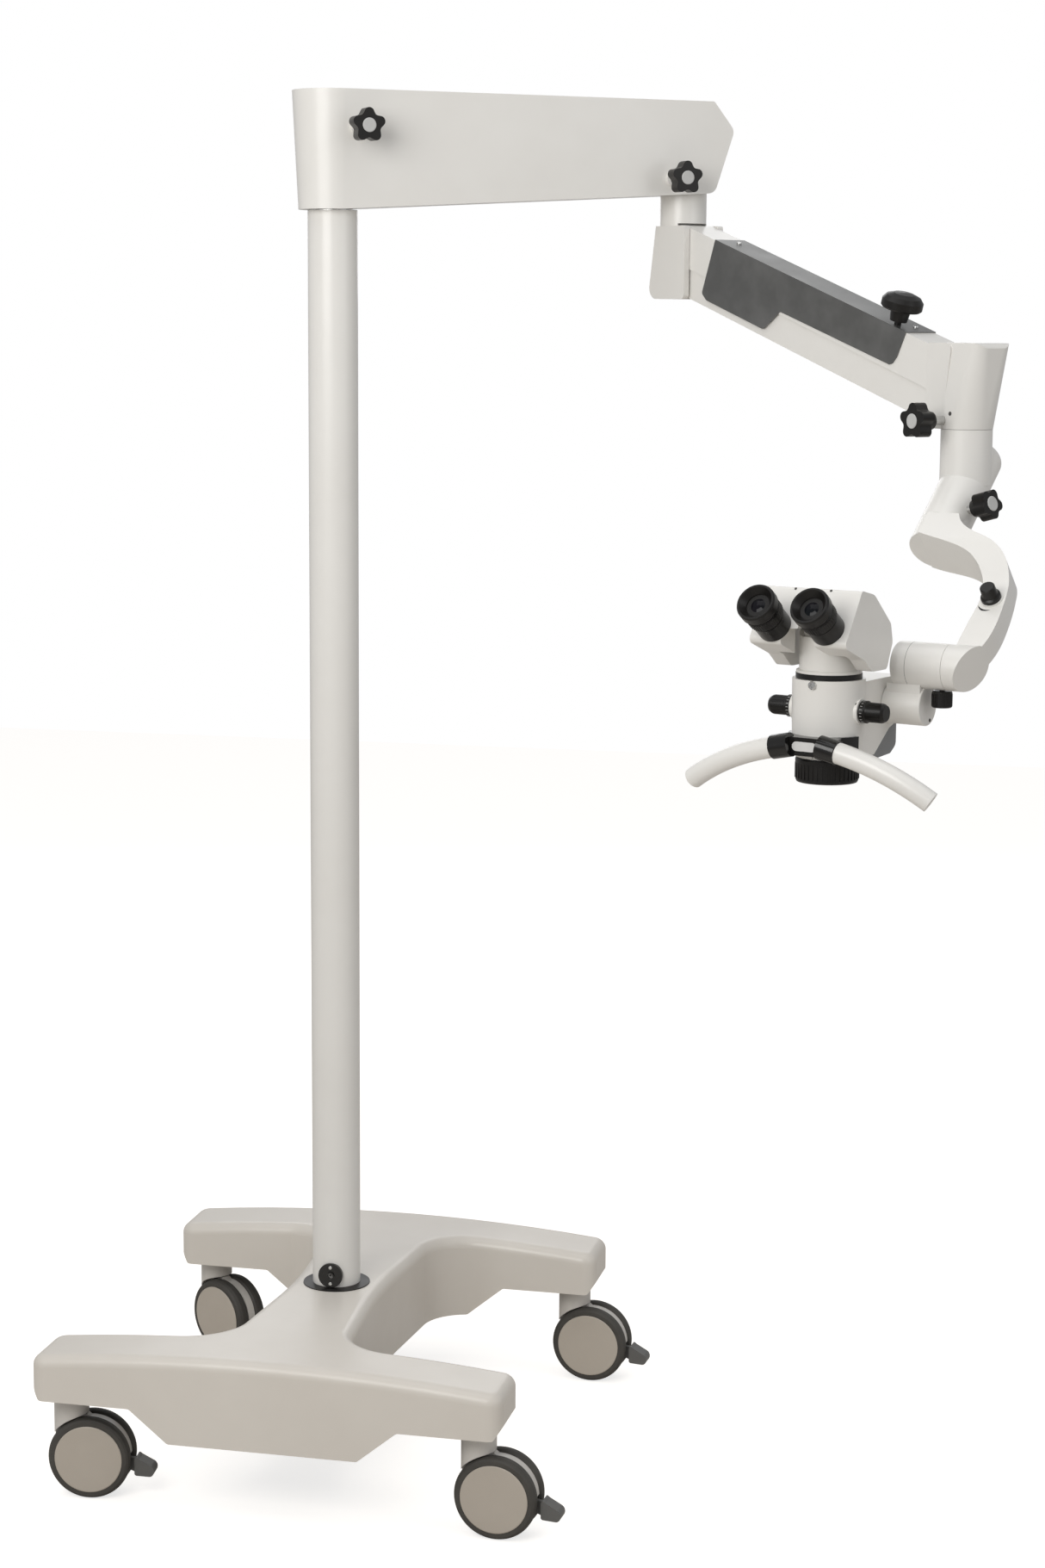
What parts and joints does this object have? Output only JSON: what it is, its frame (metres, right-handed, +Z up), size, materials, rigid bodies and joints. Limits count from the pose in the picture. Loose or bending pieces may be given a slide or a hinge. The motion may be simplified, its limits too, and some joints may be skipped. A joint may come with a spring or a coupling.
{
  "type": "surgical microscope",
  "caption": "Binocular operating microscope on a spring-balanced arm, swing beam and column with an H-shaped caster base.",
  "frame": {"origin": "column axis at floor level, between the casters", "axes": "+Z up along the column; +X along the base bars, towards the side where the beam reaches out at rest; +Y from the operator's side to the far side"},
  "size_m": [1.1258, 0.8001, 1.668],
  "materials": {
    "cover_plastic": "satin, off-white",
    "white_paint": "smooth gloss enamel, off-white",
    "frame_paint": "matt black coating",
    "iron": "as cast",
    "steel": "turned",
    "bronze": "machined",
    "black_plastic": "satin black",
    "black_trim": "gloss black",
    "grey_plastic": "light grey moulding",
    "pedal_grey": "dark grey moulding",
    "lamp_grey": "mid grey moulding",
    "wheel": "grey-black tread, taupe discs",
    "sheet_steel": "dark metallic paint",
    "dark_cover": "dark grey",
    "black_metal": "black anodised look",
    "lens_glass": "coated"
  },
  "bodies": {
    "stand": {"base_cover": "cover_plastic", "base_frame": "frame_paint", "ballast_blocks": "iron", "caster_stems": "steel", "column_tube": "white_paint", "column_collar": "black_trim", "inlet_plate": "black_trim", "column_spindle": "steel"},
    "caster_fl": {"caster_fork_fl": "grey_plastic"},
    "wheels_fl": {"caster_wheels_fl": "wheel"},
    "pedal_fl": {"caster_pedal_fl": "pedal_grey"},
    "caster_fr": {"caster_fork_fr": "grey_plastic"},
    "wheels_fr": {"caster_wheels_fr": "wheel"},
    "pedal_fr": {"caster_pedal_fr": "pedal_grey"},
    "caster_br": {"caster_fork_br": "grey_plastic"},
    "wheels_br": {"caster_wheels_br": "wheel"},
    "pedal_br": {"caster_pedal_br": "pedal_grey"},
    "caster_bl": {"caster_fork_bl": "grey_plastic"},
    "wheels_bl": {"caster_wheels_bl": "wheel"},
    "pedal_bl": {"caster_pedal_bl": "pedal_grey"},
    "beam": {"beam_housing": "white_paint", "beam_top_cover": "dark_cover", "beam_bushes": "bronze"},
    "column_knob": {"column_lock_knob": "black_plastic"},
    "elbow_knob": {"elbow_lock_knob": "black_plastic"},
    "elbow": {"elbow_yoke": "white_paint", "rear_link_pins": "steel"},
    "upper_arm": {"upper_link": "white_paint", "saddle_cover": "sheet_steel", "gas_spring": "steel"},
    "lower_arm": {"lower_link": "white_paint"},
    "tension_knob": {"tension_knob": "black_plastic"},
    "front_head": {"front_head": "white_paint", "front_link_pins": "steel"},
    "head_knob": {"head_lock_knob": "black_plastic"},
    "neck": {"neck_hub": "white_paint"},
    "tilt_knob": {"tilt_lock_knob": "black_plastic"},
    "c_arm": {"c_arm": "white_paint"},
    "brightness_knob": {"brightness_knob": "black_plastic"},
    "carrier": {"carrier": "white_paint", "carrier_end_cap": "white_paint"},
    "pitch_knob": {"pitch_lock_knob": "black_plastic"},
    "scope": {"scope_body": "white_paint", "lamp_housing": "lamp_grey", "handle_band": "black_metal", "objective_lens": "lens_glass"},
    "handle_left": {"handle_left": "white_paint"},
    "handle_right": {"handle_right": "white_paint"},
    "focus": {"focusing_ring": "black_plastic"},
    "magnification": {"magnification_drum": "black_metal", "magnification_knobs": "black_plastic"},
    "binocular": {"binocular_base": "white_paint", "dovetail_ring": "black_metal"},
    "bridge": {"binocular_bridge": "white_paint"},
    "prism_left": {"prism_housing_left": "white_paint", "eyepiece_left": "black_metal"},
    "diopter_left": {"diopter_ring_left": "black_plastic"},
    "prism_right": {"prism_housing_right": "white_paint", "eyepiece_right": "black_metal"},
    "diopter_right": {"diopter_ring_right": "black_plastic"}
  },
  "joints": [
    {"name": "swivel_fl", "type": "hinge", "parent": "stand", "child": "caster_fl", "pos_m": [-0.252, -0.27, 0.11], "axis": [0, 0, 1], "continuous": true},
    {"name": "roll_fl", "type": "hinge", "parent": "caster_fl", "child": "wheels_fl", "pos_m": [-0.22717, -0.26708, 0.05], "axis": [-0.1167, 0.9932, 0], "continuous": true},
    {"name": "brake_fl", "type": "hinge", "parent": "caster_fl", "child": "pedal_fl", "pos_m": [-0.19241, -0.263, 0.042], "axis": [-0.1167, 0.9932, 0], "range_deg": [0, 10]},
    {"name": "swivel_fr", "type": "hinge", "parent": "stand", "child": "caster_fr", "pos_m": [0.252, -0.27, 0.11], "axis": [0, 0, 1], "continuous": true},
    {"name": "roll_fr", "type": "hinge", "parent": "caster_fr", "child": "wheels_fr", "pos_m": [0.27695, -0.27157, 0.05], "axis": [0.0628, 0.998, 0], "continuous": true},
    {"name": "brake_fr", "type": "hinge", "parent": "caster_fr", "child": "pedal_fr", "pos_m": [0.31188, -0.27377, 0.042], "axis": [0.0628, 0.998, 0], "range_deg": [0, 10]},
    {"name": "swivel_br", "type": "hinge", "parent": "stand", "child": "caster_br", "pos_m": [0.252, 0.27, 0.11], "axis": [0, 0, 1], "continuous": true},
    {"name": "roll_br", "type": "hinge", "parent": "caster_br", "child": "wheels_br", "pos_m": [0.27694, 0.26834, 0.05], "axis": [0.0663, 0.9978, 0], "continuous": true},
    {"name": "brake_br", "type": "hinge", "parent": "caster_br", "child": "pedal_br", "pos_m": [0.31187, 0.26602, 0.042], "axis": [0.0663, 0.9978, 0], "range_deg": [0, 10]},
    {"name": "swivel_bl", "type": "hinge", "parent": "stand", "child": "caster_bl", "pos_m": [-0.252, 0.27, 0.11], "axis": [0, 0, 1], "continuous": true},
    {"name": "roll_bl", "type": "hinge", "parent": "caster_bl", "child": "wheels_bl", "pos_m": [-0.23035, 0.2575, 0.05], "axis": [0.5, 0.866, 0], "continuous": true},
    {"name": "brake_bl", "type": "hinge", "parent": "caster_bl", "child": "pedal_bl", "pos_m": [-0.20004, 0.24, 0.042], "axis": [0.5, 0.866, 0], "range_deg": [0, 10]},
    {"name": "beam_swing", "type": "hinge", "parent": "stand", "child": "beam", "pos_m": [0, 0, 1.59], "axis": [0, 0, 1], "range_deg": [-170, 170]},
    {"name": "column_knob_turn", "type": "hinge", "parent": "beam", "child": "column_knob", "pos_m": [0.04752, -0.03997, 1.624], "axis": [0.5736, -0.8192, 0], "range_deg": [0, 360]},
    {"name": "elbow_knob_turn", "type": "hinge", "parent": "beam", "child": "elbow_knob", "pos_m": [0.38419, 0.19577, 1.573], "axis": [0.5736, -0.8192, 0], "range_deg": [0, 360]},
    {"name": "elbow_swing", "type": "hinge", "parent": "beam", "child": "elbow", "pos_m": [0.37927, 0.26557, 1.6], "axis": [0, 0, 1], "range_deg": [-42, 198]},
    {"name": "arm_lift", "type": "hinge", "parent": "elbow", "child": "upper_arm", "pos_m": [0.39975, 0.24647, 1.497], "axis": [-0.682, -0.7314, 0], "range_deg": [-24, 37]},
    {"name": "lower_link_turn", "type": "hinge", "parent": "elbow", "child": "lower_arm", "pos_m": [0.39975, 0.24647, 1.451], "axis": [-0.682, -0.7314, 0], "range_deg": [-24, 37]},
    {"name": "tension_knob_turn", "type": "hinge", "parent": "upper_arm", "child": "tension_knob", "pos_m": [0.68538, -0.03767, 1.41497], "axis": [0.215, -0.2005, 0.9558], "range_deg": [0, 360]},
    {"name": "head_level", "type": "hinge", "parent": "upper_arm", "child": "front_head", "pos_m": [0.74856, -0.0788, 1.35027], "axis": [-0.682, -0.7314, 0], "range_deg": [-37, 24]},
    {"name": "head_knob_turn", "type": "hinge", "parent": "front_head", "child": "head_knob", "pos_m": [0.73444, -0.12033, 1.29197], "axis": [-0.682, -0.7314, 0], "range_deg": [0, 360]},
    {"name": "neck_turn", "type": "hinge", "parent": "front_head", "child": "neck", "pos_m": [0.7683, -0.09722, 1.26857], "axis": [0, 0, 1], "range_deg": [-150, 150]},
    {"name": "tilt_knob_turn", "type": "hinge", "parent": "neck", "child": "tilt_knob", "pos_m": [0.78733, -0.15254, 1.19832], "axis": [0.7953, -0.5504, 0.2542], "range_deg": [0, 360]},
    {"name": "arm_tilt", "type": "hinge", "parent": "neck", "child": "c_arm", "pos_m": [0.75499, -0.13191, 1.18682], "axis": [-0.2663, -0.6938, -0.6691], "range_deg": [-45, 45]},
    {"name": "brightness_turn", "type": "hinge", "parent": "c_arm", "child": "brightness_knob", "pos_m": [0.81328, -0.27166, 1.10901], "axis": [-0.2398, -0.6247, 0.7431], "range_deg": [-135, 135]},
    {"name": "carrier_tilt", "type": "hinge", "parent": "c_arm", "child": "carrier", "pos_m": [0.75188, -0.30743, 1.03827], "axis": [0.9336, -0.3584, 0], "range_deg": [-40, 40]},
    {"name": "pitch_knob_turn", "type": "hinge", "parent": "carrier", "child": "pitch_knob", "pos_m": [0.76728, -0.31334, 1.00327], "axis": [0, 0, -1], "range_deg": [0, 360]},
    {"name": "scope_pitch", "type": "hinge", "parent": "carrier", "child": "scope", "pos_m": [0.73321, -0.30026, 0.99497], "axis": [0.9336, -0.3584, 0], "range_deg": [-6, 40]},
    {"name": "handle_turn_left", "type": "hinge", "parent": "scope", "child": "handle_left", "pos_m": [0.59629, -0.37931, 0.95497], "axis": [-0.9179, 0.3407, -0.2033], "range_deg": [-90, 90]},
    {"name": "handle_turn_right", "type": "hinge", "parent": "scope", "child": "handle_right", "pos_m": [0.66817, -0.4069, 0.95497], "axis": [0.9101, -0.361, -0.2033], "range_deg": [-90, 90]},
    {"name": "focus_turn", "type": "hinge", "parent": "scope", "child": "focus", "pos_m": [0.65015, -0.34643, 0.92997], "axis": [0, 0, 1], "range_deg": [-150, 150]},
    {"name": "magnification_turn", "type": "hinge", "parent": "scope", "child": "magnification", "pos_m": [0.65015, -0.34643, 0.99347], "axis": [0.9336, -0.3584, 0], "continuous": true},
    {"name": "binocular_swing", "type": "hinge", "parent": "scope", "child": "binocular", "pos_m": [0.65015, -0.34643, 1.02997], "axis": [0, 0, 1], "range_deg": [-45, 45]},
    {"name": "binocular_tilt", "type": "hinge", "parent": "binocular", "child": "bridge", "pos_m": [0.65015, -0.34643, 1.05997], "axis": [-0.9336, 0.3584, 0], "range_deg": [-8, 25]},
    {"name": "eye_distance_left", "type": "slide", "parent": "bridge", "child": "prism_left", "axis": [-0.9336, 0.3584, 0], "range_m": [-0.0035, 0.006]},
    {"name": "diopter_turn_left", "type": "hinge", "parent": "prism_left", "child": "diopter_left", "pos_m": [0.58908, -0.41763, 1.10137], "axis": [-0.2971, -0.774, 0.5592], "range_deg": [-120, 120]},
    {"name": "eye_distance_right", "type": "slide", "parent": "bridge", "child": "prism_right", "axis": [0.9336, -0.3584, 0], "range_m": [-0.0035, 0.006]},
    {"name": "diopter_turn_right", "type": "hinge", "parent": "prism_right", "child": "diopter_right", "pos_m": [0.64789, -0.4402, 1.10137], "axis": [-0.2971, -0.774, 0.5592], "range_deg": [-120, 120]}
  ],
  "couplings": [
    {"joint": "lower_link_turn", "follows": "arm_lift", "ratio": 1},
    {"joint": "head_level", "follows": "arm_lift", "ratio": -1},
    {"joint": "eye_distance_right", "follows": "eye_distance_left", "ratio": 1}
  ]
}
